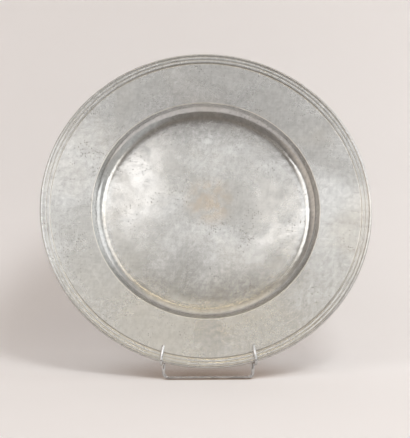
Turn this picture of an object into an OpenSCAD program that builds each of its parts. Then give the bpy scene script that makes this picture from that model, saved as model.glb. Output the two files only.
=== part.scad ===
// A broad-rimmed pewter platter leaning on a folding stand of bent wire.
// Millimetres, +Z up. The platter faces -Y. The origin is under the middle of the whole, on the floor.

/* [Platter] */
// Diameter over the edge bead
platter_d = 420; // [380:1:460]
// Diameter of the well, at the crisp edge where the rim ends
well_d = 289; // [260:1:310]
// Depth of the well floor below that edge
well_depth = 17; // [14:0.5:22]
// Thickness of the metal
metal_t = 2.6; // [2:0.1:3.4]
// Steepness of the booge, the wall between well and rim, in degrees
booge_slope = 56; // [50:1:64]
// Radius of the hollow at the foot of the booge
booge_r = 22; // [14:0.5:26]
// How far the rim rises towards its edge, in degrees
rim_rise = 5.5; // [3:0.5:8]

/* [Edge moulding] */
// Width of the moulded band
moulding_w = 13; // [9:0.5:16]
// Diameter of the bead that ends the rim
bead_d = 4; // [3.6:0.1:5]
// Rise of the bead's centre above the middle of the metal
bead_lift = 0.25; // [0:0.05:0.5]
// Number of reeds between groove and bead
reed_count = 2; // [1:1:4]
// Height of a reed
reed_h = 0.3; // [0.2:0.05:0.6]
// Width of the groove that sets the band off
groove_w = 1.2; // [0.8:0.1:1.6]
// Depth of that groove
groove_depth = 0.4; // [0.3:0.05:0.8]

/* [Stand] */
// How far the platter leans back from the vertical, in degrees
lean = 24; // [18:1:30]
// Diameter of the frame's wire
wire_d = 4; // [3.4:0.1:4.6]
// Diameter of the rear leg's wire
leg_wire_d = 3.2; // [2.8:0.1:3.6]
// Distance between the two ledge arms, middle to middle
ledge_span = 117; // [90:1:150]
// Height of the ledge arms' middle above the floor
ledge_h = 19.7; // [16:0.5:28]
// Length of a ledge arm, from the corner under its hook to the corner of the back rest
ledge_l = 50; // [42:1:60]
// Straight length of a hook between the bend under it and the bend where it turns in
hook_rise = 1.5; // [1:0.5:4]
// Length of a hook's upper part, from where it turns in to its tip
hook_reach = 16.5; // [12:0.5:22]
// How far a hook's upper part leans in towards the middle, in degrees
hook_toe_in = 10; // [4:1:14]
// Bend radius where a hook turns in
knee_bend_r = 12; // [8:0.5:16]
// Height of the back rest's top bar
rest_h = 150; // [135:1:165]
// Bend radius of the back rest's corners
rest_bend_r = 12; // [8:0.5:16]
// Bend radius of the foot wires' corners
foot_bend_r = 6; // [4:0.5:9]
// Distance from the front floor bar to the rear one
foot_spread = 143; // [130:1:160]
// Distance of the hinge rod below the top bar, along the back rest
hinge_drop = 26; // [20:1:34]
// Distance of the stop bar below the hinge rod, along the rear leg
stop_drop = 32; // [26:1:40]

/* [Fits] */
// Room between the platter and the wire that it rests on
seat_gap = 0.3; // [0.2:0.05:0.5]
// Room between the rim's face and the hooks
hook_gap = 0.6; // [0.5:0.05:0.8]
// Room between an eye and the hinge rod, all round
eye_gap = 0.08; // [0.04:0.01:0.1]
// Opening left where an eye closes on its own leg
eye_mouth = 0.3; // [0.2:0.05:0.5]
// Room between the open rear leg and its stop
stop_gap = 0.3; // [0.1:0.05:0.5]
// Room between a leg and the upright beside it
leg_side_gap = 2.3; // [1.5:0.1:4]
// How far welded wires sink into each other
weld_in = 0.7; // [0.3:0.05:1]

/* [Hidden] */
$fn = 72;
pewter = [0.72, 0.73, 0.72];
plated = [0.82, 0.83, 0.85];

// Platter section, as radius and height above the underside of the well floor
platter_r = platter_d / 2;
well_r = well_d / 2;
bead_r = bead_d / 2;
edge_z = metal_t + well_depth;
booge_run = booge_r * sin(booge_slope) + (well_depth - booge_r * (1 - cos(booge_slope))) / tan(booge_slope);
floor_r = well_r - booge_run;
bead_up = bead_lift - metal_t / 2;
bead_along = (platter_r - bead_r - well_r + bead_up * sin(rim_rise)) / cos(rim_rise);
bead_mid = rim_point(bead_along, bead_up);
bead_from = -180 + asin((metal_t + bead_up) / bead_r);
bead_to = 180 - asin(-bead_up / bead_r);
groove_mid = (platter_r - moulding_w - well_r) / cos(rim_rise);
reeds_from = groove_mid + groove_w / 2;
reeds_to = bead_along + bead_r * cos(bead_to);
reed_w = (reeds_to - reeds_from) / reed_count;
arc_steps = 12;
tip_h = 0.6;
bend_swell = 0.02;
bend_lap = 0.15;

// A point of the section, given along the rim from the well's edge and square to the rim's face
function rim_point(along, up) = [
    well_r + along * cos(rim_rise) - up * sin(rim_rise),
    edge_z + along * sin(rim_rise) + up * cos(rim_rise)
];

// Points of an arc about a centre, between two angles
function arc(mid, r, from, to, steps) =
    [for (i = [0 : steps]) let (a = from + (to - from) * i / steps) mid + r * [cos(a), sin(a)]];

// Points over one reed, from its outer foot to its inner foot
function reed(from, width, height, steps) =
    let (r = (width * width / 4 + height * height) / (2 * height), half = asin(width / 2 / r))
    [for (i = [0 : steps]) let (a = half - 2 * half * i / steps)
        rim_point(from + width / 2 + r * sin(a), height - r * (1 - cos(a)))];

booge_mid = [floor_r, metal_t + booge_r];
under_corner = [well_r, edge_z] + metal_t / cos((booge_slope - rim_rise) / 2)
    * [sin((booge_slope + rim_rise) / 2), -cos((booge_slope + rim_rise) / 2)];

platter_section = concat(
    [[0, 0]],
    arc(booge_mid, booge_r + metal_t, -90, -90 + booge_slope, arc_steps),
    [under_corner],
    [for (p = arc([0, 0], bead_r, bead_from + rim_rise, bead_to + rim_rise, 2 * arc_steps)) bead_mid + p],
    [for (i = [reed_count - 1 : -1 : 0], p = reed(reeds_from + i * reed_w, reed_w, reed_h, 6)) p],
    [rim_point(groove_mid, -groove_depth), rim_point(groove_mid - groove_w / 2, 0)],
    [[well_r, edge_z]],
    arc(booge_mid, booge_r, -90 + booge_slope, -90, arc_steps),
    [[0, metal_t]]
);

// Directions of the leaning platter: up its face, and out of its face
face_up = [0, sin(lean), cos(lean)];
face_out = [0, -cos(lean), sin(lean)];

// Height of the platter at which its bead clears both ledge arms by the seat gap
wire_r = wire_d / 2;
leg_wire_r = leg_wire_d / 2;
ledge_x = ledge_span / 2;
seat_d = bead_r + wire_r + seat_gap;
ring_r = platter_r - bead_r;
ring_h = ring_r * cos(lean);
function ring_normal(t) = norm([ring_h * sin(t), ring_r * cos(t)]);
function seat_angle(t, rounds) = rounds == 0 ? t
    : seat_angle(asin(ledge_x / (ring_r + seat_d * ring_h / ring_normal(t))), rounds - 1);
seat_t = seat_angle(0, 5);
ring_z = ledge_h + cos(seat_t) * (ring_h + seat_d * ring_r / ring_normal(seat_t));
platter_z = ring_z - bead_mid[1] * sin(lean);

// Depths behind the middle of the platter's underside
hook_d = bead_r + wire_r + hook_gap;
hook_back = ((ledge_h - platter_z) * sin(lean) - bead_mid[1] - hook_d) / cos(lean);
hook_bend_r = seat_d;
hook_setback = hook_bend_r * tan(45 + lean / 2);
foot_back = hook_back + hook_setback + wire_d;
whole_front = hook_back + hook_setback - hook_bend_r - wire_r;
platter_back = ring_r * sin(lean) - bead_mid[1] * cos(lean) + bead_r;
whole_back = max(platter_back, foot_back + foot_spread + leg_wire_r);
platter_y = -(whole_front + whole_back) / 2;
platter_at = [0, platter_y, platter_z];

// Corners of the cradle wire, right-hand side
hook_corner = [ledge_x, platter_y + hook_back, ledge_h];
hook_knee = hook_corner + (hook_setback + hook_rise + knee_bend_r * tan(hook_toe_in / 2)) * face_up;
hook_tip = hook_knee + hook_reach * (cos(hook_toe_in) * face_up - sin(hook_toe_in) * [1, 0, 0]);
rest_foot = hook_corner + [0, ledge_l, 0];
rest_up = (rest_h - platter_z + (wire_r + seat_gap) * sin(lean)) / cos(lean);
rest_top = platter_at + [ledge_x, 0, 0] + rest_up * face_up - (wire_r + seat_gap) * face_out;

// Hinge rod, behind the uprights of the back rest
rest_dir = (rest_top - rest_foot) / norm(rest_top - rest_foot);
rest_rear = [0, rest_dir[2], -rest_dir[1]];
weld_d = wire_d - weld_in;
hinge_at = rest_top - hinge_drop * rest_dir + weld_d * rest_rear - [ledge_x, 0, 0];
hinge_half = ledge_x + wire_r;

// Front foot wire, welded to the inner sides of the ledge arms
foot_x = ledge_x - weld_d;
foot_y = platter_y + foot_back;
foot_top = ledge_h + wire_r / 2;

// Rear leg wire, right-hand side: its line touches the eye's ring from behind
leg_x = ledge_x - wire_r - leg_side_gap - leg_wire_r;
eye_r = wire_r + eye_gap + leg_wire_r + bend_swell;
leg_foot = [leg_x, foot_y + foot_spread, leg_wire_r];
leg_reach = hinge_at + [leg_x, 0, 0] - leg_foot;
leg_angle = atan2(leg_reach[2], leg_reach[1]) - asin(eye_r / norm(leg_reach));
leg_dir = [0, cos(leg_angle), sin(leg_angle)];
leg_rear = [0, sin(leg_angle), -cos(leg_angle)];
leg_top = hinge_at + [leg_x, 0, 0] + eye_r * leg_rear;
eye_turn = 360 - acos(1 - (leg_wire_d + eye_mouth) / eye_r);

// Leg stop wire, welded to the outer sides of the uprights
stop_x = ledge_x + weld_d;
stop_at = leg_top - stop_drop * leg_dir + (leg_wire_r + wire_r + stop_gap) * leg_rear;
stop_weld_y = rest_foot[1] + (stop_at[2] - ledge_h) * rest_dir[1] / rest_dir[2];
stop_end = [stop_x, stop_weld_y - wire_d, stop_at[2]];
stop_corner = [stop_x, stop_at[1], stop_at[2]];

function middle(p) = [0, p[1], p[2]];
function unit(v) = v / norm(v);
function way(p, i) = unit(p[i + 1] - p[i]);
function bend_way(p, i) = unit(way(p, i) - (way(p, i) * way(p, i - 1)) * way(p, i - 1));
function turn_at(p, i) = acos(way(p, i - 1) * way(p, i));
function setback(p, r, i) = i == 0 || i == len(p) - 1 ? 0 : r[i] * tan(turn_at(p, i) / 2);

// How far the bend at one corner is rolled about the wire from the bend before it
function roll_at(p, i) =
    let (
        side = cross(way(p, i - 2), bend_way(p, i - 1)),
        carried = cross(side, way(p, i - 1))
    )
    atan2(bend_way(p, i) * side, bend_way(p, i) * carried);

// A bend that starts at the origin along +Z and curls towards +X. The wire swells a little in it.
module curl(r, turn, d) {
    translate([r, 0, 0])
        rotate([90, 0, 180])
            rotate_extrude(angle = turn)
                translate([r, 0])
                    circle(d = d + 2 * bend_swell);
}

// Sets its children where such a bend ends, along its new direction
module after_bend(r, turn) {
    translate([r, 0, 0])
        rotate([0, turn, 0])
            translate([-r, 0, 0])
                children();
}

// The rest of a wire from stretch i on, along +Z from the bend before it. Children sit on its end.
// A stretch runs on a little inside the swollen bends at its ends.
module wire_from(p, r, d, i) {
    run = norm(p[i + 1] - p[i]) - setback(p, r, i) - setback(p, r, i + 1);
    lap = i > 0 ? bend_lap : 0;
    translate([0, 0, -lap])
        cylinder(h = run + lap + (i + 2 < len(p) || $children > 0 ? bend_lap : 0), d = d);
    translate([0, 0, run])
        if (i + 2 < len(p))
            rotate(i > 0 ? roll_at(p, i + 1) : 0) {
                curl(r[i + 1], turn_at(p, i + 1), d);
                after_bend(r[i + 1], turn_at(p, i + 1))
                    wire_from(p, r, d, i + 1) children();
            }
        else
            children();
}

// A symmetric wire: half of it runs through points from the middle plane, with a bend radius at each inner point
module bent_wire(p, r, d) {
    x = bend_way(p, 1);
    z = way(p, 0);
    y = cross(z, x);
    for (side = [0, 1])
        mirror([side, 0, 0])
            multmatrix([for (i = [0 : 2]) [x[i], y[i], z[i], p[0][i]]])
                wire_from(p, r, d, 0) children();
}

// The end of a cut wire, with its rim taken off
module wire_tip(d) {
    translate([0, 0, bend_lap])
        cylinder(h = tip_h, d1 = d, d2 = d - 2 * tip_h);
}

module platter() {
    color(pewter)
        translate(platter_at)
            rotate([90 - lean, 0, 0])
                rotate_extrude($fn = 180)
                    polygon(platter_section);
}

module cradle_wire() {
    color(plated)
        bent_wire(
            [middle(rest_top), rest_top, rest_foot, hook_corner, hook_knee, hook_tip],
            [0, rest_bend_r, rest_bend_r, hook_bend_r, knee_bend_r, 0],
            wire_d
        ) wire_tip(wire_d);
}

module front_foot_wire() {
    corner = [foot_x, foot_y, wire_r];
    color(plated)
        bent_wire([middle(corner), corner, [foot_x, foot_y, foot_top]], [0, foot_bend_r, 0], wire_d);
}

module hinge_rod() {
    color(plated)
        translate(hinge_at)
            rotate([0, 90, 0])
                cylinder(h = 2 * hinge_half, d = wire_d, center = true);
}

module leg_stop_wire() {
    color(plated)
        bent_wire([middle(stop_corner), stop_corner, stop_end], [0, foot_bend_r, 0], wire_d);
}

module rear_leg_wire() {
    color(plated)
        bent_wire([middle(leg_foot), leg_foot, leg_top], [0, foot_bend_r, 0], leg_wire_d)
            rotate(90)
                curl(eye_r, eye_turn, leg_wire_d);
}

platter();
cradle_wire();
front_foot_wire();
hinge_rod();
leg_stop_wire();
rear_leg_wire();
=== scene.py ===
"""A well-used pewter platter with a reeded edge, leaning on a folding stand of bent, plated wire."""

import logging
import math
from dataclasses import dataclass
from enum import Enum
from typing import Any, Optional, Sequence, Union

import bpy
from mathutils import Matrix, Vector

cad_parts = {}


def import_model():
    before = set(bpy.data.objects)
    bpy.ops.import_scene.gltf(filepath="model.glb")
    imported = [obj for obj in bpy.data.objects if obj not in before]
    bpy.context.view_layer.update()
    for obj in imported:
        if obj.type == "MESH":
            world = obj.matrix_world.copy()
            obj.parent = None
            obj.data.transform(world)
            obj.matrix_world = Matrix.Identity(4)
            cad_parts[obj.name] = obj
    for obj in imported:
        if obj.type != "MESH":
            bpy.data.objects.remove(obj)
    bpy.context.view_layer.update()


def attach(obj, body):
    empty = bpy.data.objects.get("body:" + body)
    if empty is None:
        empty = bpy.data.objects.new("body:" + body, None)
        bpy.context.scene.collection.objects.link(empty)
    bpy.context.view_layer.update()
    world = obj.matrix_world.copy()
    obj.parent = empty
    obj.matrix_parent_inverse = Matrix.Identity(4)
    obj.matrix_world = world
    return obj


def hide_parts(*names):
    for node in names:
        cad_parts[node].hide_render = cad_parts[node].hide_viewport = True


LOG = logging.getLogger("platter_on_stand")
MM = 0.001
FLOAT = "NodeSocketFloat"
INTEGER = "NodeSocketInt"
MATERIAL = "NodeSocketMaterial"
Socket = bpy.types.NodeSocket
Value = Union[float, int, str, bool, tuple, Socket, bpy.types.Material]
Colour = tuple[float, float, float, float]


class Face(Enum):
    """The two faces of the turned platter."""

    FRONT = 0.0
    BACK = 1.0


class Body(Enum):
    """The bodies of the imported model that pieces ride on."""

    STAND = "stand"
    REAR_LEG = "rear_leg"
    PLATTER = "platter"


class Slot(Enum):
    """The record's material slots."""

    PEWTER = "pewter"
    WIRE = "plated_wire"


@dataclass
class Graph:
    """A node tree that is being built.

    Args:
        tree: The shader or geometry tree that gets the nodes.
    """

    tree: bpy.types.NodeTree

    def node(
        self, kind: str, inputs: Optional[dict[Union[str, int], Value]] = None, **settings: Any
    ) -> bpy.types.Node:
        """Add a node, set its properties and fill or join its inputs.

        Args:
            kind: Blender's name for the node type.
            inputs: Values or sockets by input name or index.
            **settings: Properties of the node itself.

        Returns:
            The new node.
        """
        made = self.tree.nodes.new(kind)
        for name, value in settings.items():
            setattr(made, name, value)
        for key, value in (inputs or {}).items():
            if isinstance(value, Socket):
                self.join(value, made.inputs[key])
            else:
                made.inputs[key].default_value = value
        return made

    def join(self, source: Socket, target: Socket) -> None:
        """Link one socket to another."""
        self.tree.links.new(source, target)

    def math(self, operation: str, a: Value, b: Value = 0.0, clamp: bool = False) -> Socket:
        """Add a Math node.

        Args:
            operation: The node's operation.
            a: First operand.
            b: Second operand.
            clamp: Whether the result is held between 0 and 1.

        Returns:
            The result's socket.
        """
        return self.node("ShaderNodeMath", {0: a, 1: b}, operation=operation, use_clamp=clamp).outputs[0]

    def product(self, first: Value, *others: Value) -> Value:
        """Multiply numbers.

        Args:
            first: First factor.
            *others: Further factors.

        Returns:
            The product's socket.
        """
        total = first
        for factor in others:
            total = self.math("MULTIPLY", total, factor)
        return total

    def plus(self, total: Value, value: Value, factor: Value, clamp: bool = False) -> Socket:
        """Add a weighted number.

        Args:
            total: What it is added to.
            value: The number.
            factor: Its weight.
            clamp: Whether the result is held between 0 and 1.

        Returns:
            The sum's socket.
        """
        return self.math("ADD", total, self.math("MULTIPLY", value, factor), clamp)

    def vector(self, operation: str, a: Value, b: Value) -> Socket:
        """Add a Vector Math node and give its vector."""
        return self.node("ShaderNodeVectorMath", {0: a, 1: b}, operation=operation).outputs[0]

    def attribute(self, name: str) -> Socket:
        """Read a point attribute in a material."""
        return self.node("ShaderNodeAttribute", attribute_name=name).outputs["Fac"]

    def field(self, name: str) -> Socket:
        """Read a point attribute in a geometry tree."""
        return self.node("GeometryNodeInputNamedAttribute", {"Name": name}, data_type="FLOAT").outputs[0]

    def ramp(self, value: Value, low: float, high: float, start: float = 0.0, end: float = 1.0) -> Socket:
        """Add a smooth step from one value to another.

        Args:
            value: The number that is mapped.
            low: Where the step begins.
            high: Where the step ends.
            start: Result before the step.
            end: Result after it.

        Returns:
            The result's socket.
        """
        sockets = {"Value": value, "From Min": low, "From Max": high, "To Min": start, "To Max": end}
        return self.node("ShaderNodeMapRange", sockets, interpolation_type="SMOOTHSTEP").outputs["Result"]

    def noise(self, vector: Value, scale: float, detail: float = 3.0, distortion: float = 0.0) -> Socket:
        """Add a three-dimensional noise.

        Args:
            vector: Coordinates in metres.
            scale: Features per metre.
            detail: Number of finer layers.
            distortion: How much the noise is stirred.

        Returns:
            The noise's value, around 0.5.
        """
        sockets = {"Vector": vector, "Scale": scale, "Detail": detail, "Distortion": distortion}
        return self.node("ShaderNodeTexNoise", sockets).outputs[0]

    def mix(self, amount: Value, a: Value, b: Value) -> Socket:
        """Blend two colours.

        Args:
            amount: Share of the second colour.
            a: First colour.
            b: Second colour.

        Returns:
            The blended colour's socket.
        """
        return self.node("ShaderNodeMix", {0: amount, 6: a, 7: b}, data_type="RGBA").outputs[2]

    def stretched(self, vector: Value, turn: float, scale: tuple[float, float, float]) -> Socket:
        """Turn coordinates about Z and stretch them.

        Args:
            vector: Coordinates.
            turn: Angle in degrees.
            scale: Factor on each axis after the turn.

        Returns:
            The new coordinates' socket.
        """
        rotation = (0.0, 0.0, math.radians(turn))
        turned = self.node("ShaderNodeMapping", {"Vector": vector, "Rotation": rotation})
        return self.node("ShaderNodeMapping", {"Vector": turned.outputs[0], "Scale": scale}).outputs[0]

    def dress(self, geometry: Socket, material: Socket, result: bpy.types.Node) -> None:
        """End a geometry tree with its material.

        Args:
            geometry: The realized mesh.
            material: The tree's material input.
            result: The tree's output node.
        """
        dressed = {"Geometry": geometry, "Material": material}
        self.join(self.node("GeometryNodeSetMaterial", dressed).outputs[0], result.inputs[0])


def new_material(name: str) -> tuple[bpy.types.Material, Graph, bpy.types.Node]:
    """Start a node material.

    Args:
        name: The material's name.

    Returns:
        The material, its graph and its main shader.
    """
    made = bpy.data.materials.new(name)
    made.use_nodes = True
    return made, Graph(made.node_tree), made.node_tree.nodes["Principled BSDF"]


@dataclass(frozen=True)
class PewterMarks:
    """Masks for what age, use and the lathe leave on the pewter. Lengths are in metres.

    Args:
        g: The material's tree.
        local: Coordinates on the platter's axis, with Y up its face.
    """

    g: Graph
    local: Socket

    def radius(self, middle: tuple[float, float, float] = (0.0, 0.0, 0.0)) -> Socket:
        """Give the distance from the platter's axis, or from a line beside it.

        Args:
            middle: Where that line stands.

        Returns:
            The distance.
        """
        beside = self.g.vector("SUBTRACT", self.local, middle)
        flat = self.g.vector("MULTIPLY", beside, (1.0, 1.0, 0.0))
        return self.g.node("ShaderNodeVectorMath", {0: flat}, operation="LENGTH").outputs["Value"]

    def mottle(self) -> Socket:
        """Draw faint crossing streaks left by scouring.

        Returns:
            The streaks' value, around 0.5.
        """
        g = self.g
        total = g.math("MULTIPLY", g.noise(self.local, 170.0, 5.0, 0.4), 0.4)
        for turn in (4.0, 93.0, 128.0):
            streak = g.noise(g.stretched(self.local, turn, (60.0, 330.0, 60.0)), 1.0, 3.0)
            total = g.plus(total, streak, 0.2)
        return total

    def low_well_darkening(self, mottle: Socket) -> Socket:
        """Darken the well's floor towards its bottom middle.

        Args:
            mottle: The streaks that break the darkening up.

        Returns:
            A mask that is highest low in the middle of the well's floor.
        """
        g = self.g
        across, up, _ = g.node("ShaderNodeSeparateXYZ", {0: self.local}).outputs
        floor = g.ramp(self.radius(), 0.112, 0.124, 1.0, 0.0)
        low = g.ramp(up, -0.095, -0.015, 0.85, 0.0)
        inner = g.ramp(g.math("ABSOLUTE", across), 0.030, 0.090, 1.0, 0.6)
        return g.product(floor, low, inner, g.ramp(mottle, 0.37, 0.63, 1.0, 0.6))

    def spilled(self) -> Socket:
        """Lay a faint patchy spill mark a little above the middle of the well.

        Returns:
            A mask that is at most a half.
        """
        near = self.g.ramp(self.radius((0.006, 0.016, 0.0)), 0.010, 0.040, 1.0, 0.0)
        return self.g.product(near, self.g.ramp(self.g.noise(self.local, 70.0, 4.0), 0.36, 0.62, 0.08, 0.5))

    def rubbed_and_highlight(self) -> Socket:
        """Draw speckled bright crescents at both sides of the well's floor, partly polish from use and
        partly painted highlight.

        Returns:
            A mask that is 1 on the bright crescents.
        """
        g = self.g
        across, up, _ = g.node("ShaderNodeSeparateXYZ", {0: self.local}).outputs
        radius = self.radius()
        band = g.product(g.ramp(radius, 0.042, 0.090), g.ramp(radius, 0.118, 0.128, 1.0, 0.0))
        left = g.product(g.ramp(across, -0.075, -0.022, 1.0, 0.0), g.ramp(up, -0.085, 0.050))
        right = g.product(g.ramp(across, 0.022, 0.085), g.ramp(up, -0.095, -0.030))
        right = g.product(right, g.ramp(up, 0.020, 0.070, 0.8, 0.15))
        speckle = g.ramp(g.noise(self.local, 48.0, 7.0), 0.28, 0.64, 0.15, 1.0)
        return g.product(band, g.math("ADD", left, right), speckle)

    def pits(self) -> Socket:
        """Set small corrosion pits in loose groups.

        Returns:
            A mask that is 1 inside a pit.
        """
        g = self.g
        cells = g.node("ShaderNodeTexVoronoi", {"Vector": self.local, "Scale": 380.0})
        chance = g.node("ShaderNodeSeparateColor", {0: cells.outputs["Color"]}).outputs[0]
        spot = g.ramp(cells.outputs["Distance"], 0.16, 0.34, 1.0, 0.0)
        group = g.ramp(g.noise(self.local, 26.0, 3.0), 0.50, 0.64)
        return g.product(spot, g.ramp(chance, 0.52, 0.60), group)

    def scratches(self) -> Socket:
        """Draw fine scratches in several directions.

        Returns:
            A mask that is 1 along a scratch.
        """
        g = self.g
        total: Value = 0.0
        for turn in (12.0, 58.0, 101.0, 152.0):
            line = g.noise(g.stretched(self.local, turn, (14.0, 420.0, 14.0)), 1.0, 2.0)
            total = g.math("MAXIMUM", total, g.ramp(line, 0.66, 0.72))
        return total

    def turned_lines(self) -> Socket:
        """Draw the lines that the lathe leaves round the axis.

        Returns:
            The height of the lines, around 0.5.
        """
        along = self.g.node("ShaderNodeCombineXYZ", {0: self.radius()}).outputs[0]
        return self.g.noise(along, 900.0, 2.0)


@dataclass(frozen=True)
class PewterFinish:
    """Old pewter, wiped bright on the high places, with dull oxide, pits and scratches, and with painted
    highlights on the well's edge and floor.

    Args:
        at: Middle of the underside of the well floor, in metres.
        tilt: Turn of the platter about X, in radians.
        light: Colour of the wiped metal.
        dull: Colour of the dull, oxidised metal.
        warm: Colour of the random yellowing, and of a painted warm reflection low on the platter.
        worn_and_highlight: Colour of the crisp well edge, partly metal polished by use and partly a painted
            bright highlight line.
        rubbed_and_highlight: Colour of the bright crescents in the well, partly polish from use and partly a
            painted highlight.
        dirt_and_shade: Colour of what has gathered in the grooves, also used as painted shade on the bead's
            outer side and underside.
        pit: Colour inside the corrosion pits.
        low_well_tone: Colour of the well's floor towards its bottom middle, where it is darker.
        spill: Colour of an old spill mark near the middle of the well.
    """

    at: tuple[float, float, float]
    tilt: float
    light: Colour = (0.655, 0.662, 0.66, 1.0)
    dull: Colour = (0.455, 0.462, 0.46, 1.0)
    warm: Colour = (0.66, 0.625, 0.56, 1.0)
    worn_and_highlight: Colour = (0.97, 0.94, 0.88, 1.0)
    rubbed_and_highlight: Colour = (0.87, 0.87, 0.86, 1.0)
    dirt_and_shade: Colour = (0.40, 0.315, 0.20, 1.0)
    pit: Colour = (0.20, 0.195, 0.185, 1.0)
    low_well_tone: Colour = (0.33, 0.325, 0.31, 1.0)
    spill: Colour = (0.60, 0.49, 0.37, 1.0)

    def material(self) -> bpy.types.Material:
        """Make the material.

        Returns:
            A procedural pewter that follows the platter's own axis.
        """
        made, g, shader = new_material("old_pewter")
        shader.inputs["Metallic"].default_value = 1.0
        coords = g.node("ShaderNodeTexCoord").outputs["Object"]
        place = {"Vector": coords, "Location": self.at, "Rotation": (self.tilt, 0.0, 0.0)}
        local = g.node("ShaderNodeMapping", place, vector_type="TEXTURE").outputs[0]
        marks = PewterMarks(g, local)
        blotch = g.ramp(g.noise(local, 11.0, 6.0, 0.5), 0.30, 0.70)
        grain = g.noise(local, 700.0, 3.0)
        mottle = marks.mottle()
        pits = marks.pits()
        scratches = marks.scratches()
        back = g.attribute("back")
        front = g.math("SUBTRACT", 1.0, back, True)
        edge_wear_and_highlight = g.attribute("edge_wear_and_highlight")
        groove_dirt_and_shade = g.ramp(g.noise(local, 55.0, 3.0), 0.25, 0.6, 0.45, 1.0)
        groove_dirt_and_shade = g.product(g.attribute("groove"), groove_dirt_and_shade)

        tone = g.plus(g.ramp(mottle, 0.37, 0.63, 0.12, 0.70), blotch, 0.2)
        tone = g.plus(tone, scratches, 0.22)
        tone = g.plus(tone, back, -0.25, True)
        colour = g.mix(tone, self.dull, self.light)
        up = g.node("ShaderNodeSeparateXYZ", {0: local}).outputs[1]
        yellowing_and_warm_reflection = g.ramp(g.noise(local, 8.0, 4.0, 0.6), 0.48, 0.74, 0.0, 0.38)
        # Painted reflection: the lower part of the platter is made warmer.
        yellowing_and_warm_reflection = g.math("ADD", yellowing_and_warm_reflection, g.ramp(up, -0.20, -0.02, 0.25, 0.0), True)
        colour = g.mix(yellowing_and_warm_reflection, colour, self.warm)
        # The well's floor is darker towards its bottom middle.
        colour = g.mix(marks.low_well_darkening(mottle), colour, self.low_well_tone)
        # Painted highlight: speckled bright crescents on both sides of the well's floor, partly polish from
        # use.
        colour = g.mix(g.product(marks.rubbed_and_highlight(), front), colour, self.rubbed_and_highlight)
        colour = g.mix(g.product(marks.spilled(), front), colour, self.spill)
        # Groove dirt, and painted shade on the outer side and underside of the edge bead.
        colour = g.mix(g.product(groove_dirt_and_shade, 0.5), colour, self.dirt_and_shade)
        colour = g.mix(g.product(pits, 0.9), colour, self.pit)
        # Painted highlight: a bright warm line along the well's crisp edge, over metal polished by use.
        colour = g.mix(edge_wear_and_highlight, colour, self.worn_and_highlight)
        g.join(colour, shader.inputs["Base Color"])

        cloud = g.plus(g.product(blotch, 0.6), grain, 0.4)
        rough = g.plus(g.ramp(cloud, 0.15, 0.85, 0.31, 0.19), groove_dirt_and_shade, 0.15)
        rough = g.plus(rough, edge_wear_and_highlight, 0.3)
        radius = marks.radius()
        booge = g.product(g.ramp(radius, 0.119, 0.126), g.ramp(radius, 0.138, 0.143, 1.0, 0.0))
        rough = g.plus(rough, booge, -0.08)
        g.join(rough, shader.inputs["Roughness"])

        relief = g.plus(g.product(grain, 0.25), mottle, 0.5)
        relief = g.plus(relief, pits, -0.8)
        relief = g.plus(relief, scratches, -0.2)
        relief = g.plus(relief, marks.turned_lines(), g.ramp(back, 0.0, 1.0, 0.12, 0.5))
        bump = g.node("ShaderNodeBump", {"Strength": 0.35, "Distance": 0.0002, "Height": relief})
        g.join(bump.outputs[0], shader.inputs["Normal"])
        return made


@dataclass(frozen=True)
class PlatedWireFinish:
    """Bright plated wire with fine drawing marks and a little dulling.

    Args:
        bright: Colour of the clean plating.
        dull: Colour where it is handled.
    """

    bright: Colour = (0.74, 0.74, 0.745, 1.0)
    dull: Colour = (0.50, 0.50, 0.50, 1.0)

    def material(self) -> bpy.types.Material:
        """Make the material.

        Returns:
            A procedural plated metal.
        """
        made, g, shader = new_material("plated_wire")
        shader.inputs["Metallic"].default_value = 1.0
        coords = g.node("ShaderNodeTexCoord").outputs["Object"]
        cloud = g.ramp(g.noise(coords, 60.0, 4.0), 0.35, 0.65)
        grain = g.noise(coords, 1500.0, 2.0)
        g.join(g.mix(cloud, self.dull, self.bright), shader.inputs["Base Color"])
        g.join(g.ramp(cloud, 0.0, 1.0, 0.08, 0.03), shader.inputs["Roughness"])
        bump = g.node("ShaderNodeBump", {"Strength": 0.15, "Distance": 0.0001, "Height": grain})
        g.join(bump.outputs[0], shader.inputs["Normal"])
        return made


@dataclass(frozen=True)
class PaperFinish:
    """Matt pale paper for the sweep and the floor.

    Args:
        colour: Colour of the paper.
        shade: Its colour where little of the room is open to it.
    """

    colour: Colour = (0.955, 0.95, 0.95, 1.0)
    shade: Colour = (0.50, 0.375, 0.285, 1.0)

    def material(self) -> bpy.types.Material:
        """Make the material.

        Returns:
            A matt paper that is clear from behind.
        """
        made, g, shader = new_material("sweep_paper")
        opening = g.node("ShaderNodeAmbientOcclusion", {"Distance": 0.3}).outputs["AO"]
        colour = g.mix(g.ramp(opening, 0.25, 0.70, 1.0, 0.0), self.colour, self.shade)
        g.join(colour, shader.inputs["Base Color"])
        shader.inputs["Roughness"].default_value = 0.9
        shader.inputs["Specular IOR Level"].default_value = 0.1
        behind = g.node("ShaderNodeNewGeometry").outputs["Backfacing"]
        clear = g.node("ShaderNodeBsdfTransparent").outputs[0]
        both = g.node("ShaderNodeMixShader", {0: behind, 1: shader.outputs[0], 2: clear}).outputs[0]
        g.join(both, made.node_tree.nodes["Material Output"].inputs["Surface"])
        return made


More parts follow.
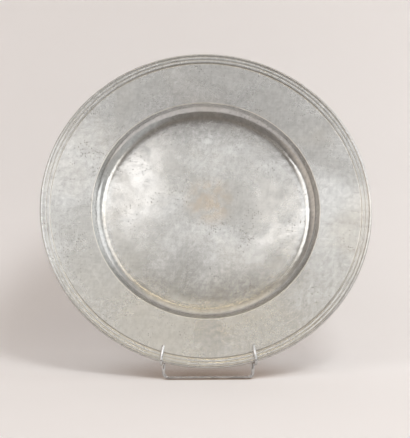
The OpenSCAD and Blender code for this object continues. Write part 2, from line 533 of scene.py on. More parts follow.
@dataclass(frozen=True)
class RoomFinish:
    """The room's colours, as metal mirrors them and as it lights matt paper.

    Args:
        ahead: In front of the platter, at the height of the eye and below.
        above: Higher in front.
        overhead: Straight above.
        right: To the right.
        left: To the left.
        matt: The even light that matt paper gets.
    """

    ahead: Colour = (0.285, 0.255, 0.23, 1.0)
    above: Colour = (0.42, 0.38, 0.335, 1.0)
    overhead: Colour = (0.98, 0.90, 0.78, 1.0)
    right: Colour = (0.63, 0.62, 0.60, 1.0)
    left: Colour = (0.85, 0.75, 0.66, 1.0)
    matt: Colour = (0.265, 0.205, 0.172, 1.0)

    def world(self) -> bpy.types.World:
        """Make the world.

        Returns:
            The room, with its colours blended by direction.
        """
        made = bpy.data.worlds.new("room")
        made.use_nodes = True
        g = Graph(made.node_tree)
        way = g.node("ShaderNodeTexCoord").outputs["Generated"]
        across, _, up = g.node("ShaderNodeSeparateXYZ", {0: way}).outputs
        colour = g.mix(g.ramp(up, 0.62, 0.80), self.ahead, self.above)
        colour = g.mix(g.ramp(up, 0.85, 0.96), colour, self.overhead)
        colour = g.mix(g.ramp(across, 0.24, 0.64), colour, self.right)
        colour = g.mix(g.ramp(across, -0.95, -0.60, 1.0, 0.0), colour, self.left)
        colour = g.mix(g.node("ShaderNodeLightPath").outputs["Is Diffuse Ray"], colour, self.matt)
        background = made.node_tree.nodes["Background"]
        g.join(colour, background.inputs["Color"])
        background.inputs["Strength"].default_value = 1.0
        return made


def chain(count: int) -> list[tuple[int, int]]:
    """List the edges that join points in a row."""
    return [(i, i + 1) for i in range(count - 1)]


def link_mesh(
    name: str, points: Sequence[Vector], edges: Sequence[tuple] = (), faces: Sequence[tuple] = ()
) -> bpy.types.Object:
    """Make a mesh object in the scene.

    Args:
        name: The object's name.
        points: Its vertices, in metres.
        edges: Its loose edges.
        faces: Its faces.

    Returns:
        The new object, at the origin.
    """
    mesh = bpy.data.meshes.new(name)
    mesh.from_pydata([tuple(p) for p in points], edges, faces)
    made = bpy.data.objects.new(name, mesh)
    bpy.context.scene.collection.objects.link(made)
    return made


def point_attribute(obj: bpy.types.Object, name: str, values: Sequence[float]) -> None:
    """Give each vertex of a mesh a number.

    Args:
        obj: The mesh object.
        name: The attribute's name.
        values: One number for each vertex.
    """
    made = obj.data.attributes.new(name, "FLOAT", "POINT")
    made.data.foreach_set("value", list(values))


def run_tree(obj: bpy.types.Object, tree: bpy.types.NodeTree, values: dict[str, Any]) -> bpy.types.Object:
    """Run a geometry tree on an object and keep its result as a plain mesh.

    Args:
        obj: The object whose mesh goes into the tree.
        tree: The geometry tree.
        values: Its inputs by name.

    Returns:
        The same object, with the new mesh and no modifier.
    """
    modifier = obj.modifiers.new("shape", "NODES")
    modifier.node_group = tree
    for socket in tree.interface.items_tree:
        if getattr(socket, "in_out", "") == "INPUT" and socket.name in values:
            modifier[socket.identifier] = values[socket.name]
    bpy.context.view_layer.update()
    graph = bpy.context.evaluated_depsgraph_get()
    shaped = obj.evaluated_get(graph)
    mesh = bpy.data.meshes.new_from_object(shaped, preserve_all_data_layers=True, depsgraph=graph)
    obj.modifiers.clear()
    mesh.name = obj.name
    obj.data = mesh
    return obj


def new_tree(name: str, inputs: dict[str, str]) -> tuple[Graph, bpy.types.Node, bpy.types.Node]:
    """Start a geometry tree.

    Args:
        name: The tree's name.
        inputs: Socket type by input name, after the geometry itself.

    Returns:
        The graph, its input node and its output node.
    """
    tree = bpy.data.node_groups.new(name, "GeometryNodeTree")
    tree.interface.new_socket("Geometry", in_out="INPUT", socket_type="NodeSocketGeometry")
    for label, kind in inputs.items():
        tree.interface.new_socket(label, in_out="INPUT", socket_type=kind)
    tree.interface.new_socket("Geometry", in_out="OUTPUT", socket_type="NodeSocketGeometry")
    g = Graph(tree)
    return g, g.node("NodeGroupInput"), g.node("NodeGroupOutput")


@dataclass
class SectionPoint:
    """One point of the platter's section.

    Args:
        radius: Distance from the axis.
        height: Height above the underside of the well floor.
        face: The face that it lies on.
        hammer: Share of the hammer marks.
        groove: Share of the grime in grooves and hollows, and of the painted shade on the bead's outer side
            and underside.
        edge: Share of the nicks in the edge.
        edge_wear_and_highlight: Share of the polish on a crisp edge and of the painted highlight there.
    """

    radius: float
    height: float
    face: Face = Face.FRONT
    hammer: float = 0.0
    groove: float = 0.0
    edge: float = 0.0
    edge_wear_and_highlight: float = 0.0


@dataclass
class Platter:
    """The turned pewter platter, leaning back. Sizes are in metres and degrees.

    The fields that end in steps count the points along a stretch of its section.
    """

    at: tuple[float, float, float] = (0.0, 0.0231673, 0.196466)
    lean: float = 24.0
    radius: float = 0.210
    well_radius: float = 0.1445
    well_depth: float = 0.017
    metal: float = 0.0026
    booge_slope: float = 56.0
    booge_radius: float = 0.022
    rim_rise: float = 5.5
    moulding_width: float = 0.013
    bead_radius: float = 0.002
    bead_lift: float = 0.00025
    reed_count: int = 2
    reed_height: float = 0.00016
    groove_width: float = 0.0012
    groove_depth: float = 0.00035
    dish: float = 0.0031
    dish_from: float = 0.35
    edge_round: float = 0.0009
    rim_start: float = 0.0012
    hammer_depth: float = 0.00022
    hammer_marks: float = 150.0
    warp: float = 0.0006
    planish: float = 0.00026
    nick_depth: float = 0.0005
    steps_around: int = 320
    floor_steps: int = 44
    hollow_steps: int = 16
    wall_steps: int = 13
    edge_steps: int = 5
    rim_steps: int = 25
    reed_steps: int = 10
    bead_steps: int = 22
    rim_back_steps: int = 24
    wall_back_steps: int = 10
    hollow_back_steps: int = 12
    floor_back_steps: int = 40

    @property
    def tilt(self) -> float:
        """Turn about X, in radians, that leans the platter's axis forward."""
        return math.radians(90.0 - self.lean)

    def rim_point(self, along: float, up: float) -> tuple[float, float]:
        """Give a place on the rim.

        Args:
            along: Distance along the rim's face from the well's edge.
            up: Distance out of that face.

        Returns:
            Radius and height.
        """
        rise = math.radians(self.rim_rise)
        radius = self.well_radius + along * math.cos(rise) - up * math.sin(rise)
        return radius, self.metal + self.well_depth + along * math.sin(rise) + up * math.cos(rise)

    def section(self) -> list[SectionPoint]:
        """Trace the section from the middle of the floor over the edge to the middle of the underside.

        Returns:
            The section's points in order.
        """
        slope = math.radians(self.booge_slope)
        rise = math.radians(self.rim_rise)
        hollow = self.booge_radius
        flat_radius = self._floor_radius(slope, 0.0, 0.0)
        spread = (1.0 - self.dish_from) * flat_radius
        first = math.atan(3 * self.dish / spread)
        floor_radius = self._floor_radius(slope, first, self.dish)
        points: list[SectionPoint] = []
        for i in range(self.floor_steps):
            out = i / self.floor_steps
            share = max(0.0, (out - self.dish_from) / (1.0 - self.dish_from))
            height = self.metal + self.dish * share**3
            points.append(SectionPoint(floor_radius * out, height, hammer=1.7 * max(0.0, out - 0.55)))
        for i in range(self.hollow_steps + 1):
            a = first + (slope - first) * i / self.hollow_steps
            dirt_and_shade = max(0.0, 1.0 - abs(i - 3.0) / 3.0)
            points.append(
                SectionPoint(
                    floor_radius + hollow * (math.sin(a) - math.sin(first)),
                    self.metal + self.dish + hollow * (math.cos(first) - math.cos(a)),
                    hammer=min(1.0, 0.3 + i / 8),
                    groove=0.5 * dirt_and_shade,
                )
            )
        foot = points[-1]
        top_height = self.metal + self.well_depth
        for i in range(1, self.wall_steps):
            t = i / self.wall_steps
            radius = foot.radius + (self.well_radius - foot.radius) * t
            height = foot.height + (top_height - foot.height) * t
            points.append(SectionPoint(radius, height, hammer=min(1.0, 2.6 * (1 - t))))
        points += self._well_edge(slope, rise)
        points += self._rim_face()
        points += self._moulding()
        points += self._bead(rise)
        points += self._underside(slope, flat_radius)
        return points

    def _floor_radius(self, slope: float, first: float, dish: float) -> float:
        """Find where the floor meets the hollow of the booge.

        Args:
            slope: The booge's angle in radians.
            first: The floor's angle at its edge in radians.
            dish: How far the floor's edge lies above its middle.

        Returns:
            The floor's radius.
        """
        across = self.booge_radius * (math.sin(slope) - math.sin(first))
        up = self.booge_radius * (math.cos(first) - math.cos(slope))
        return self.well_radius - across - (self.well_depth - dish - up) / math.tan(slope)

    def _well_edge(self, slope: float, rise: float) -> list[SectionPoint]:
        """Round the crisp edge between well and rim a little.

        Args:
            slope: The booge's angle in radians.
            rise: The rim's angle in radians.

        Returns:
            Points over the edge.
        """
        setback = self.edge_round * math.tan((slope - rise) / 2)
        crest = Vector((self.well_radius, self.metal + self.well_depth))
        start = crest - setback * Vector((math.cos(slope), math.sin(slope)))
        middle = start + self.edge_round * Vector((math.sin(slope), -math.cos(slope)))
        points = []
        for i in range(self.edge_steps + 1):
            a = slope + (rise - slope) * i / self.edge_steps
            place = middle + self.edge_round * Vector((-math.sin(a), math.cos(a)))
            # The middle of the rounded edge gets a painted bright highlight line, besides its polish from
            # use.
            points.append(SectionPoint(place.x, place.y, edge_wear_and_highlight=1.0 if 0 < i < self.edge_steps else 0.3))
        return points

    def _rim_face(self) -> list[SectionPoint]:
        """Cross the flat of the rim up to the groove.

        Returns:
            Points along the rim's face.
        """
        reach = self._groove_middle() - self.groove_width - self.rim_start
        spots = [self.rim_start + reach * i / self.rim_steps for i in range(self.rim_steps + 1)]
        return [SectionPoint(*self.rim_point(along, 0.0)) for along in spots]

    def _groove_middle(self) -> float:
        """Distance along the rim from the well's edge to the groove."""
        return (self.radius - self.moulding_width - self.well_radius) / math.cos(math.radians(self.rim_rise))

    def _bead_along(self) -> float:
        """Distance along the rim from the well's edge to the bead's middle."""
        rise = math.radians(self.rim_rise)
        up = self.bead_lift - self.metal / 2
        return (self.radius - self.bead_radius - self.well_radius + up * math.sin(rise)) / math.cos(rise)

    def _moulding(self) -> list[SectionPoint]:
        """Cross the groove and the reeds.

        Returns:
            Points over the moulded band.
        """
        middle = self._groove_middle()
        half = self.groove_width / 2
        points = [SectionPoint(*self.rim_point(middle - half, 0.0), groove=0.2)]
        for share, dirt_and_shade in ((-0.5, 0.4), (0.0, 0.8), (0.5, 0.6)):
            depth = self.groove_depth * (1.0 - 1.6 * share * share)
            points.append(SectionPoint(*self.rim_point(middle + share * half, -depth), groove=dirt_and_shade))
        bead_up = self.bead_lift - self.metal / 2
        reach = math.sqrt(self.bead_radius**2 - bead_up**2)
        start = middle + half
        width = (self._bead_along() - reach - start) / self.reed_count
        curve = (width * width / 4 + self.reed_height**2) / (2 * self.reed_height)
        spread = math.asin(width / 2 / curve)
        steps = self.reed_steps
        for reed in range(self.reed_count):
            last = reed == self.reed_count - 1
            for i in range(steps + 1 if last else steps):
                a = -spread + 2 * spread * i / steps
                most = 1.0 if last and i > steps / 2 else 0.8
                dirt_and_shade = most * max(0.0, 1.0 - min(i, steps - i) / 1.5)
                along = start + reed * width + width / 2 + curve * math.sin(a)
                up = self.reed_height - curve * (1 - math.cos(a))
                points.append(SectionPoint(*self.rim_point(along, up), groove=dirt_and_shade))
        return points

    def _bead(self, rise: float) -> list[SectionPoint]:
        """Go round the bead that ends the rim.

        Args:
            rise: The rim's angle in radians.

        Returns:
            Points from the bead's inner foot to its underside.
        """
        up = self.bead_lift - self.metal / 2
        middle = Vector(self.rim_point(self._bead_along(), up))
        start = math.pi - math.asin(-up / self.bead_radius) + rise
        end = -math.pi + math.asin((self.metal + up) / self.bead_radius) + rise
        points = []
        for i in range(1, self.bead_steps + 1):
            a = start + (end - start) * i / self.bead_steps
            place = middle + self.bead_radius * Vector((math.cos(a), math.sin(a)))
            face = Face.FRONT if i < 15 else Face.BACK
            # Painted shade: the outer side and underside of the bead are darkened.
            dirt_and_shade = 1.0 if i > 10 else 0.0
            points.append(SectionPoint(place.x, place.y, face, groove=dirt_and_shade, edge=1.0 if 4 < i < 18 else 0.4))
        return points

    def _underside(self, slope: float, floor_radius: float) -> list[SectionPoint]:
        """Come back along the underside to the middle.

        Args:
            slope: The booge's angle in radians.
            floor_radius: Radius of the flat floor.

        Returns:
            Points along the underside.
        """
        last = self._bead_along() - self.bead_radius
        points = []
        for i in range(1, self.rim_back_steps):
            along = last * (1 - i / self.rim_back_steps)
            points.append(SectionPoint(*self.rim_point(along, -self.metal), Face.BACK))
        outer = self.booge_radius + self.metal
        top = Vector(self.rim_point(0.0, -self.metal))
        hollow = []
        for i in range(self.hollow_back_steps + 1):
            a = slope * (1 - i / self.hollow_back_steps)
            lift = self.metal + self.booge_radius - outer * math.cos(a)
            hollow.append(Vector((floor_radius + outer * math.sin(a), lift)))
        wall = [i / self.wall_back_steps for i in range(1, self.wall_back_steps)]
        wall = [top + (hollow[0] - top) * share for share in wall]
        points += [SectionPoint(*place, Face.BACK, hammer=0.5) for place in wall + hollow]
        for i in range(1, self.floor_back_steps + 1):
            points.append(SectionPoint(floor_radius * (1 - i / self.floor_back_steps), 0.0, Face.BACK))
        return points

    def tree(self) -> bpy.types.NodeTree:
        """Build the tree that turns the section and works its surface.

        Returns:
            A geometry tree with named inputs.
        """
        inputs = {
            "Section Points": INTEGER,
            "Steps Around": INTEGER,
            "Hammer Depth": FLOAT,
            "Hammer Marks Per Metre": FLOAT,
            "Warp": FLOAT,
            "Planish": FLOAT,
            "Nick Depth": FLOAT,
            "Material": MATERIAL,
        }
        g, source, result = new_tree("turned_platter", inputs)
        get = source.outputs
        rows = g.math("SUBTRACT", get["Section Points"], 1.0)
        sheet = {
            "Size X": rows,
            "Size Y": get["Steps Around"],
            "Vertices X": get["Section Points"],
            "Vertices Y": g.math("ADD", get["Steps Around"], 1.0),
        }
        geometry = g.node("GeometryNodeMeshGrid", sheet).outputs["Mesh"]
        place = g.node("ShaderNodeSeparateXYZ", {0: g.node("GeometryNodeInputPosition").outputs[0]})
        row = g.math("ROUND", g.math("ADD", place.outputs[0], g.math("MULTIPLY", rows, 0.5)))
        step = g.math("ADD", place.outputs[1], g.math("MULTIPLY", get["Steps Around"], 0.5))
        angle = g.math("MULTIPLY", g.math("DIVIDE", step, get["Steps Around"]), 2 * math.pi)
        for name in ("hammer", "groove", "edge", "edge_wear_and_highlight", "back"):
            sample = {0: get["Geometry"], 1: g.field(name), "Index": row}
            picked = g.node("GeometryNodeSampleIndex", sample, data_type="FLOAT").outputs[0]
            kept = {"Geometry": geometry, "Name": name, "Value": picked}
            stored = g.node("GeometryNodeStoreNamedAttribute", kept, data_type="FLOAT", domain="POINT")
            geometry = stored.outputs[0]
        spot = g.node("GeometryNodeInputPosition").outputs[0]
        sample = {0: get["Geometry"], 1: spot, "Index": row}
        section = g.node("GeometryNodeSampleIndex", sample, data_type="FLOAT_VECTOR").outputs[0]
        section = g.node("ShaderNodeSeparateXYZ", {0: section})
        x = g.math("MULTIPLY", section.outputs[0], g.math("COSINE", angle))
        y = g.math("MULTIPLY", section.outputs[0], g.math("SINE", angle))
        turned = g.node("ShaderNodeCombineXYZ", {0: x, 1: y, 2: section.outputs[2]}).outputs[0]
        geometry = g.node("GeometryNodeSetPosition", {"Geometry": geometry, "Position": turned}).outputs[0]
        geometry = g.node("GeometryNodeMergeByDistance", {"Geometry": geometry, "Distance": 1e-6}).outputs[0]
        geometry = self._worked(g, get, geometry)
        leant = {"Geometry": geometry, "Translation": self.at, "Rotation": (self.tilt, 0.0, 0.0)}
        geometry = g.node("GeometryNodeTransform", leant).outputs[0]
        geometry = g.node("GeometryNodeSetShadeSmooth", {"Geometry": geometry}).outputs[0]
        geometry = g.node("GeometryNodeRealizeInstances", {"Geometry": geometry}).outputs[0]
        g.dress(geometry, get["Material"], result)
        return g.tree

    @staticmethod
    def _worked(g: Graph, get: Any, geometry: Socket) -> Socket:
        """Add hammer marks, a slight warp, planishing and nicks to the turned mesh.

        Args:
            g: The tree.
            get: The tree's inputs.
            geometry: The turned mesh.

        Returns:
            The worked mesh's socket.
        """
        spot = g.node("GeometryNodeInputPosition").outputs[0]
        flat = g.vector("MULTIPLY", spot, (1.0, 1.0, 0.0))
        cells = g.node("ShaderNodeTexVoronoi", {"Vector": spot, "Scale": get["Hammer Marks Per Metre"]})
        cells = cells.outputs["Distance"]
        mark = g.math("SUBTRACT", g.product(cells, cells), 0.22)
        patch = g.ramp(g.noise(flat, 16.0, 1.0), 0.36, 0.56, 0.35, 1.0)
        mark = g.product(mark, g.field("hammer"), get["Hammer Depth"], patch)
        ripple = g.math("SUBTRACT", g.noise(flat, 34.0, 2.0), 0.5)
        bend = g.math("SUBTRACT", g.noise(flat, 6.0, 1.0), 0.5)
        nick = g.ramp(g.noise(spot, 70.0, 1.0), 0.66, 0.78)
        nick = g.product(nick, g.field("edge"), get["Nick Depth"])
        outward = {0: g.node("GeometryNodeInputNormal").outputs[0], "Scale": g.math("SUBTRACT", mark, nick)}
        along_normal = g.node("ShaderNodeVectorMath", outward, operation="SCALE").outputs[0]
        lift = g.plus(g.product(bend, get["Warp"]), ripple, get["Planish"])
        along_axis = g.node("ShaderNodeCombineXYZ", {2: lift}).outputs[0]
        total = g.vector("ADD", along_normal, along_axis)
        return g.node("GeometryNodeSetPosition", {"Geometry": geometry, "Offset": total}).outputs[0]

    def build(self) -> bpy.types.Object:
        """Make the platter's mesh and dress it.

        Returns:
            The finished piece.
        """
        points = self.section()
        spots = [Vector((p.radius, 0.0, p.height)) for p in points]
        piece = link_mesh("pewter_platter", spots, chain(len(spots)))
        for name in ("hammer", "edge_wear_and_highlight", "groove", "edge"):
            point_attribute(piece, name, [getattr(p, name) for p in points])
        point_attribute(piece, "back", [p.face.value for p in points])
        values = {
            "Section Points": len(points),
            "Steps Around": self.steps_around,
            "Hammer Depth": self.hammer_depth,
            "Hammer Marks Per Metre": self.hammer_marks,
            "Warp": self.warp,
            "Planish": self.planish,
            "Nick Depth": self.nick_depth,
            "Material": PewterFinish(self.at, self.tilt).material(),
        }
        run_tree(piece, self.tree(), values)
        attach(piece, Body.PLATTER.value)
        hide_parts("platter")
        return piece


@dataclass
class WirePath:
    """A wire's middle line as straight stretches with bends. Places are in millimetres.

    Args:
        corners: The places that the stretches run between.
        bends: Bend radius at each inner corner.
        mirrored: Whether the corners give only the right-hand half, from the middle plane on.
        bend_step: Largest turn between two points of a bend, in degrees.
    """

    corners: list[tuple[float, float, float]]
    bends: Sequence[float] = ()
    mirrored: bool = True
    bend_step: float = 5.0

    def half(self) -> list[Vector]:
        """Trace the corners with their bends.

        Returns:
            Points along the middle line, in millimetres.
        """
        spots = [Vector(c) for c in self.corners]
        line = [spots[0]]
        for before, spot, after, bend in zip(spots, spots[1:], spots[2:], self.bends):
            into = (spot - before).normalized()
            out = (after - spot).normalized()
            turn = into.angle(out)
            start = spot - bend * math.tan(turn / 2) * into
            inward = (out - out.dot(into) * into).normalized()
            steps = max(4, round(math.degrees(turn) / self.bend_step))
            for i in range(steps + 1):
                a = turn * i / steps
                line.append(start + bend * (math.sin(a) * into + (1 - math.cos(a)) * inward))
        line.append(spots[-1])
        return line

    def trace(self, tail: Sequence[Vector] = ()) -> list[Vector]:
        """Trace the whole wire.

        Args:
            tail: Further points beyond the last corner, in millimetres.

        Returns:
            Points along the middle line, in metres.
        """
        line = self.half() + list(tail)
        if self.mirrored:
            line = [Vector((-p.x, p.y, p.z)) for p in reversed(line)] + line[1:]
        return [p * MM for p in line]


@dataclass
class WireStand:
    """The folding stand of bent wire. Places and sizes are in millimetres."""

    wire: float = 4.0
    leg_wire: float = 3.2
    hinge: tuple[float, float] = (0.0613853, 124.26)
    hinge_half: float = 60.5
    rest_top: tuple[float, float, float] = (58.5, 4.99707, 150.0)
    rest_foot: tuple[float, float, float] = (58.5, -37.5624, 19.7)
    hook_corner: tuple[float, float, float] = (58.5, -87.5624, 19.7)
    hook_knee: tuple[float, float, float] = (58.5, -83.8321, 28.0784)
    hook_tip: tuple[float, float, float] = (55.6348, -77.2229, 42.9229)
    cradle_bends: tuple[float, ...] = (12.0, 12.0, 4.3, 12.0)
    foot: tuple[float, float, float] = (55.2, -76.941, 20.7)
    stop: tuple[float, float, float] = (61.8, 21.2557, 99.1096)
    stop_end: float = -15.6251
    leg_foot: tuple[float, float, float] = (52.6, 66.059, 1.6)
    leg_top: tuple[float, float, float] = (52.6, 3.36511, 125.926)
    bend: float = 6.0
    eye_radius: float = 3.7
    eye_turn: float = 273.1
    eye_steps: int = 36
    wire_sides: int = 24
    weld_radius: float = 2.6
    weld_unevenness: float = 1.6
    foot_weld_drop: float = 0.3
    rod_weld: tuple[float, float] = (-1.57, 0.51)
    stop_weld: float = 4.0

    def eye(self) -> list[Vector]:
        """Trace the eye that closes round the hinge rod at the top of a leg.

        Returns:
            Points beyond the leg's top, in millimetres.
        """
        middle = Vector((self.leg_top[0], *self.hinge))
        rear = (Vector(self.leg_top) - middle).normalized()
        along = (Vector(self.leg_top) - Vector(self.leg_foot)).normalized()
        line = []
        for i in range(1, self.eye_steps + 1):
            a = math.radians(self.eye_turn) * i / self.eye_steps
            line.append(middle + self.eye_radius * (math.cos(a) * rear + math.sin(a) * along))
        return line

    def u_wire(self, corner: tuple[float, float, float], end: tuple[float, float, float]) -> WirePath:
        """Lay out a wire that is bent to a U.

        Args:
            corner: Its right-hand corner.
            end: Its right-hand end.

        Returns:
            The wire's path.
        """
        return WirePath([(0.0, *corner[1:]), corner, end], [self.bend])

    def wires(self) -> list[tuple[str, str, Body, float, list[Vector]]]:
        """List the stand's wires.

        Returns:
            Piece name, CAD node, body, diameter and middle line of each.
        """
        hook = [self.hook_corner, self.hook_knee, self.hook_tip]
        rest = [(0.0, *self.rest_top[1:]), self.rest_top, self.rest_foot]
        cradle = WirePath(rest + hook, self.cradle_bends)
        foot = self.u_wire((*self.foot[:2], self.wire / 2), self.foot)
        rod = WirePath([(side * self.hinge_half, *self.hinge) for side in (-1.0, 1.0)], mirrored=False)
        stop = self.u_wire(self.stop, (self.stop[0], self.stop_end, self.stop[2]))
        leg = self.u_wire(self.leg_foot, self.leg_top)
        return [
            ("bent_cradle_wire", "cradle_wire", Body.STAND, self.wire, cradle.trace()),
            ("bent_front_foot", "front_foot_wire", Body.STAND, self.wire, foot.trace()),
            ("straight_hinge_rod", "hinge_rod", Body.STAND, self.wire, rod.trace()),
            ("bent_leg_stop", "leg_stop_wire", Body.STAND, self.wire, stop.trace()),
            ("bent_rear_leg", "rear_leg_wire", Body.REAR_LEG, self.leg_wire, leg.trace(self.eye())),
        ]

    @staticmethod
    def rounded_ends(line: list[Vector], radius: float) -> tuple[list[Vector], list[float]]:
        """Add points at both ends so that the wire's cut ends are rounded.

        Args:
            line: The wire's middle line.
            radius: The wire's radius.

        Returns:
            The longer line and the share of the radius at each of its points.
        """
        flat = 0.45
        ends = []
        for tip, before in ((line[0], line[1]), (line[-1], line[-2])):
            way = (tip - before).normalized()
            marks = []
            for a in (0.0, 0.5, 0.95, 1.3, 1.57):
                place = tip - way * (flat * radius) * (1 - math.sin(a))
                marks.append((place, flat + (1 - flat) * math.cos(a)))
            ends.append(marks)
        full = ends[0][::-1] + [(p, 1.0) for p in line[1:-1]] + ends[1]
        return [p for p, _ in full], [share for _, share in full]

    @staticmethod
    def tree() -> bpy.types.NodeTree:
        """Build the tree that draws a round wire along a line.

        Returns:
            A geometry tree with named inputs.
        """
        inputs = {"Wire Radius": FLOAT, "Sides": INTEGER, "Material": MATERIAL}
        g, source, result = new_tree("drawn_wire", inputs)
        get = source.outputs
        line = g.node("GeometryNodeMeshToCurve", {0: get["Geometry"]}).outputs[0]
        circle = {"Resolution": get["Sides"], "Radius": get["Wire Radius"]}
        ring = g.node("GeometryNodeCurvePrimitiveCircle", circle).outputs[0]
        sweep = {"Curve": line, "Profile Curve": ring, "Scale": g.field("girth"), "Fill Caps": True}
        wire = g.node("GeometryNodeCurveToMesh", sweep).outputs[0]
        wire = g.node("GeometryNodeSetShadeSmooth", {"Geometry": wire}).outputs[0]
        wire = g.node("GeometryNodeRealizeInstances", {"Geometry": wire}).outputs[0]
        g.dress(wire, get["Material"], result)
        return g.tree

    @staticmethod
    def weld_tree() -> bpy.types.NodeTree:
        """Build the tree that sets an uneven bead on each point.

        Returns:
            A geometry tree with named inputs.
        """
        inputs = {"Bead Radius": FLOAT, "Unevenness": FLOAT, "Material": MATERIAL}
        g, source, result = new_tree("weld_beads", inputs)
        get = source.outputs
        ball = {"Radius": get["Bead Radius"], "Subdivisions": 4}
        ball = g.node("GeometryNodeMeshIcoSphere", ball).outputs[0]
        spread = {"Points": get["Geometry"], "Instance": ball}
        beads = g.node("GeometryNodeInstanceOnPoints", spread).outputs[0]
        beads = g.node("GeometryNodeRealizeInstances", {"Geometry": beads}).outputs[0]
        lump = g.noise(g.node("GeometryNodeInputPosition").outputs[0], 420.0, 2.0)
        lump = g.product(g.math("SUBTRACT", lump, 0.5), get["Unevenness"])
        normal = g.node("GeometryNodeInputNormal").outputs[0]
        shift = g.node("ShaderNodeVectorMath", {0: normal, "Scale": lump}, operation="SCALE").outputs[0]
        beads = g.node("GeometryNodeSetPosition", {"Geometry": beads, "Offset": shift}).outputs[0]
        beads = g.node("GeometryNodeSetShadeSmooth", {"Geometry": beads}).outputs[0]
        g.dress(beads, get["Material"], result)
        return g.tree

    def welds(self, material: bpy.types.Material) -> bpy.types.Object:
        """Set a small bead of weld midway between the wires where they meet.

        Args:
            material: The beads' finish.

        Returns:
            One piece with all beads.
        """
        by_foot = (self.foot[0] + self.rest_foot[0]) / 2
        by_stop = (self.stop[0] + self.rest_top[0]) / 2
        spots = [
            (by_foot, self.foot[1], self.rest_foot[2] - self.foot_weld_drop),
            (self.rest_top[0], self.hinge[0] + self.rod_weld[0], self.hinge[1] + self.rod_weld[1]),
            (by_stop, self.stop_end + self.stop_weld, self.stop[2]),
        ]
        points = [Vector((side * x, y, z)) * MM for x, y, z in spots for side in (-1.0, 1.0)]
        piece = link_mesh("weld_beads", points)
        values = {
            "Bead Radius": self.weld_radius * MM,
            "Unevenness": self.weld_unevenness * MM,
            "Material": material,
        }
        run_tree(piece, self.weld_tree(), values)
        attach(piece, Body.STAND.value)
        return piece

    def build(self) -> list[bpy.types.Object]:
        """Make the stand's wires and dress them.

        Returns:
            The finished pieces.
        """
        material = PlatedWireFinish().material()
        tree = self.tree()
        pieces = []
        for name, node, body, diameter, line in self.wires():
            radius = diameter / 2 * MM
            line, girth = self.rounded_ends(line, radius)
            piece = link_mesh(name, line, chain(len(line)))
            point_attribute(piece, "girth", girth)
            run_tree(piece, tree, {"Wire Radius": radius, "Sides": self.wire_sides, "Material": material})
            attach(piece, body.value)
            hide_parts(node)
            pieces.append(piece)
        pieces.append(self.welds(material))
        return pieces


@dataclass(frozen=True)
class Softbox:
    """A rectangular light. Lengths are in metres, angles in degrees.

    Args:
        name: The light's name.
        azimuth: Angle to the right of the platter's front.
        elevation: Angle above the floor.
        distance: Distance from the place that it faces.
        size: Width and height.
        radiance: Brightness of its face.
        mirrored: Whether metal mirrors it.
        tint: Colour of its light.
    """

    name: str
    azimuth: float
    elevation: float
    distance: float
    size: tuple[float, float]
    radiance: float
    mirrored: bool = True
    tint: tuple[float, float, float] = (1.0, 1.0, 1.0)

    def hang(self, aim: Vector) -> None:
        """Hang the light.

        Args:
            aim: The place that it faces.
        """
        data = bpy.data.lights.new(self.name, "AREA")
        data.shape = "RECTANGLE"
        data.size, data.size_y = self.size
        data.color = self.tint
        data.energy = self.radiance * math.pi * self.size[0] * self.size[1]
        light = bpy.data.objects.new(self.name, data)
        light.visible_glossy = self.mirrored
        a = math.radians(self.azimuth)
        e = math.radians(self.elevation)
        out = Vector((math.sin(a) * math.cos(e), -math.cos(a) * math.cos(e), math.sin(e)))
        turn = out.to_track_quat("Z", "Y").to_matrix().to_4x4()
        light.matrix_world = Matrix.Translation(aim + out * self.distance) @ turn
        bpy.context.scene.collection.objects.link(light)


LAMPS = (
    Softbox("strip_front", 0.0, 42.5, 4.0, (3.2, 0.52), 1.35),
    Softbox("softbox_right", 38.0, 38.0, 3.6, (1.1, 2.1), 1.85),
    Softbox("softbox_left", -37.0, 37.0, 3.8, (1.2, 2.3), 1.95),
    Softbox("panel_right", 92.0, 30.0, 1.3, (0.9, 0.9), 0.95),
    Softbox("lamp_warm", 18.0, 58.0, 3.2, (1.5, 0.06), 7.0, tint=(1.0, 0.84, 0.52)),
    Softbox("key_right", 17.0, 42.0, 3.6, (0.8, 0.8), 17.0, mirrored=False),
)


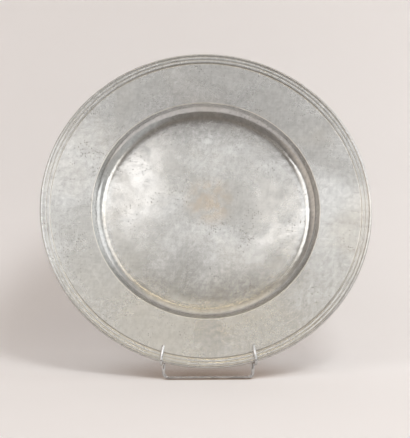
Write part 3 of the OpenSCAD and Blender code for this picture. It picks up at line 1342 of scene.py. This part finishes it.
@dataclass
class Studio:
    """The pale sweep, the room, the lights and the camera. Lengths are in metres.

    Args:
        half_width: Half the width of the paper and of the floor behind it.
        front: Where the paper ends in front, just outside the camera's frame.
        wall: Where it stands upright behind the object.
        curve: Radius of its bend.
        curve_steps: Number of faces along the bend.
        height: How high it reaches.
        back: Where the floor behind it ends.
        lamp_aim: Place that the lamps face.
        eye: Where the camera stands.
        target: Where it looks.
        sensor: Height of its sensor, in millimetres.
        lens: Length of its lens, in millimetres.
    """

    half_width: float = 6.0
    front: float = -0.505
    wall: float = 0.40
    curve: float = 0.24
    curve_steps: int = 16
    height: float = 2.4
    back: float = 6.0
    lamp_aim: tuple[float, float, float] = (0.0, 0.0, 0.2)
    eye: tuple[float, float, float] = (-0.10789, -3.09593, 0.47123)
    target: tuple[float, float, float] = (-0.0015, 0.0, 0.1925)
    sensor: float = 36.0
    lens: float = 202.25

    def sheet(self, name: str, line: Sequence[tuple[float, float]], finish: PaperFinish) -> None:
        """Lay a sheet of paper across the studio.

        Args:
            name: The sheet's name.
            line: Places and heights along it, from the front to the back.
            finish: The paper.
        """
        points = [Vector((x, y, z)) for y, z in line for x in (-self.half_width, self.half_width)]
        faces = [(2 * i, 2 * i + 1, 2 * i + 3, 2 * i + 2) for i in range(len(line) - 1)]
        made = link_mesh(name, points, faces=faces)
        made.data.polygons.foreach_set("use_smooth", [True] * len(faces))
        made.data.materials.append(finish.material())

    def paper(self) -> None:
        """Lay the sweep under and behind the object, and the floor that only views from the back show."""
        bend = self.wall - self.curve
        line = [(self.front, 0.0), (bend, 0.0)]
        for i in range(1, self.curve_steps + 1):
            a = math.pi / 2 * i / self.curve_steps
            line.append((bend + self.curve * math.sin(a), self.curve * (1 - math.cos(a))))
        line.append((self.wall, self.height))
        self.sheet("paper_sweep", line, PaperFinish())
        self.sheet("floor_behind", [(bend, 0.0), (self.back, 0.0)], PaperFinish(shade=PaperFinish.colour))

    def camera(self) -> None:
        """Set the camera at the photograph's viewing angle."""
        data = bpy.data.cameras.new("camera")
        data.sensor_fit = "VERTICAL"
        data.sensor_height = self.sensor
        data.lens = self.lens
        camera = bpy.data.objects.new("camera", data)
        eye = Vector(self.eye)
        turn = (Vector(self.target) - eye).to_track_quat("-Z", "Y").to_matrix().to_4x4()
        camera.matrix_world = Matrix.Translation(eye) @ turn
        bpy.context.scene.collection.objects.link(camera)
        bpy.context.scene.camera = camera

    def build(self) -> None:
        """Set up the whole studio."""
        self.camera()
        self.paper()
        bpy.context.scene.world = RoomFinish().world()
        for lamp in LAMPS:
            lamp.hang(Vector(self.lamp_aim))
        bpy.context.scene.view_settings.view_transform = "Standard"


def main() -> None:
    """Build the platter, its stand and the studio."""
    logging.basicConfig(level=logging.INFO, format="%(name)s: %(message)s")
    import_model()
    Studio().build()
    pieces = [Platter().build()]
    pieces += WireStand().build()
    for piece in pieces:
        LOG.info("%s: %d vertices, %d faces", piece.name, len(piece.data.vertices), len(piece.data.polygons))


if __name__ == "__main__":
    main()
